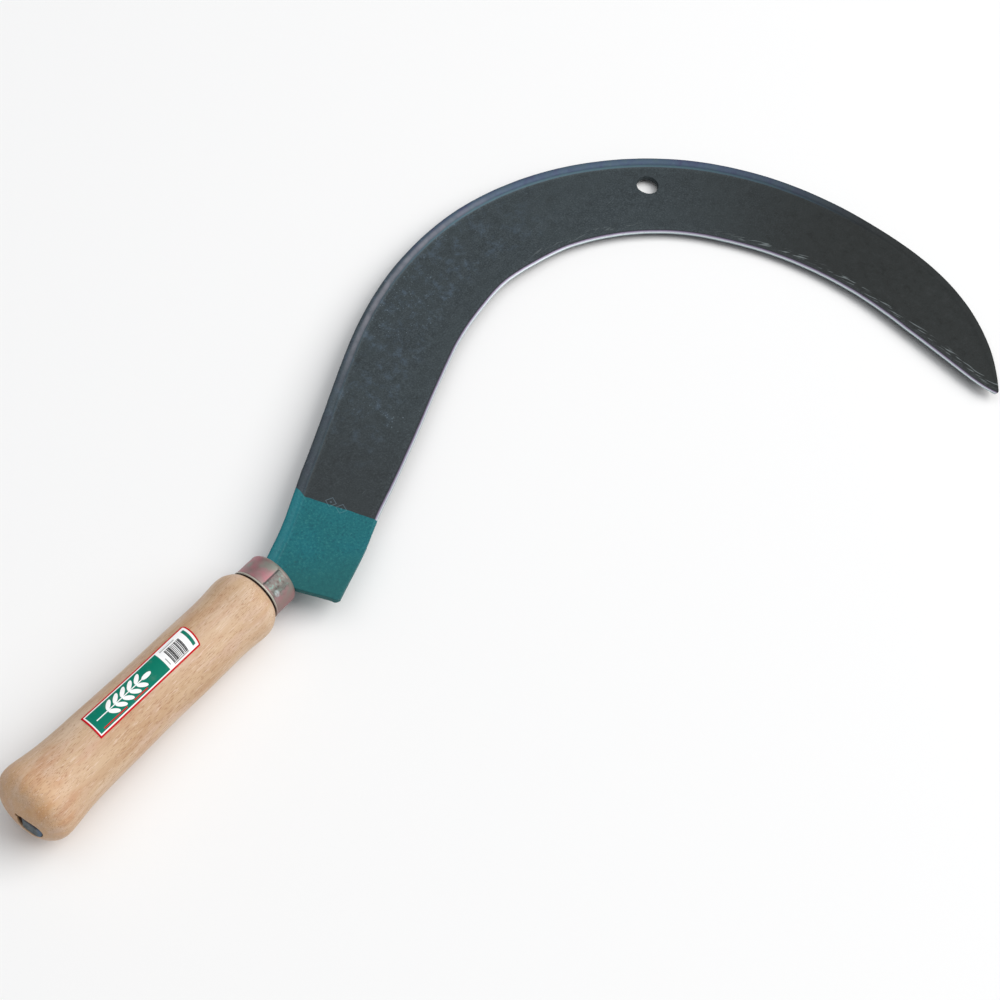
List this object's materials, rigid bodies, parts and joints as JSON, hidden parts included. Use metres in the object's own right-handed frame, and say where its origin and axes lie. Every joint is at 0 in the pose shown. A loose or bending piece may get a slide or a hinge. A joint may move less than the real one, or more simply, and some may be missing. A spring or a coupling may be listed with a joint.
{
  "type": "hand sickle",
  "caption": "Hand sickle: forged crescent blade with a hanging hole, raised back rib and painted heel, through tang clenched at the butt of a turned wooden handle with a steel ferrule.",
  "frame": {"origin": "bottom centre of the whole tool's box; the lowest point is the underside of the handle's butt swell", "axes": "+X along the handle's axis from the butt to the blade, +Z square to the blade's flat face, up out of its ribbed face, +Y towards the bow of the blade's back"},
  "size_m": [0.5176, 0.2682, 0.0361],
  "materials": {
    "blade_steel": "dark forged scale with a bright ground edge; the heel is dipped in teal paint",
    "handle_wood": "fine-sanded beech, thin clear varnish",
    "ferrule_steel": "pressed sheet steel, satin, slightly tarnished",
    "label_paper": "coated paper, green and white with a red border"
  },
  "bodies": {
    "root": {"blade": "blade_steel", "handle": "handle_wood", "ferrule": "ferrule_steel", "label": "label_paper"}
  },
  "joints": []
}
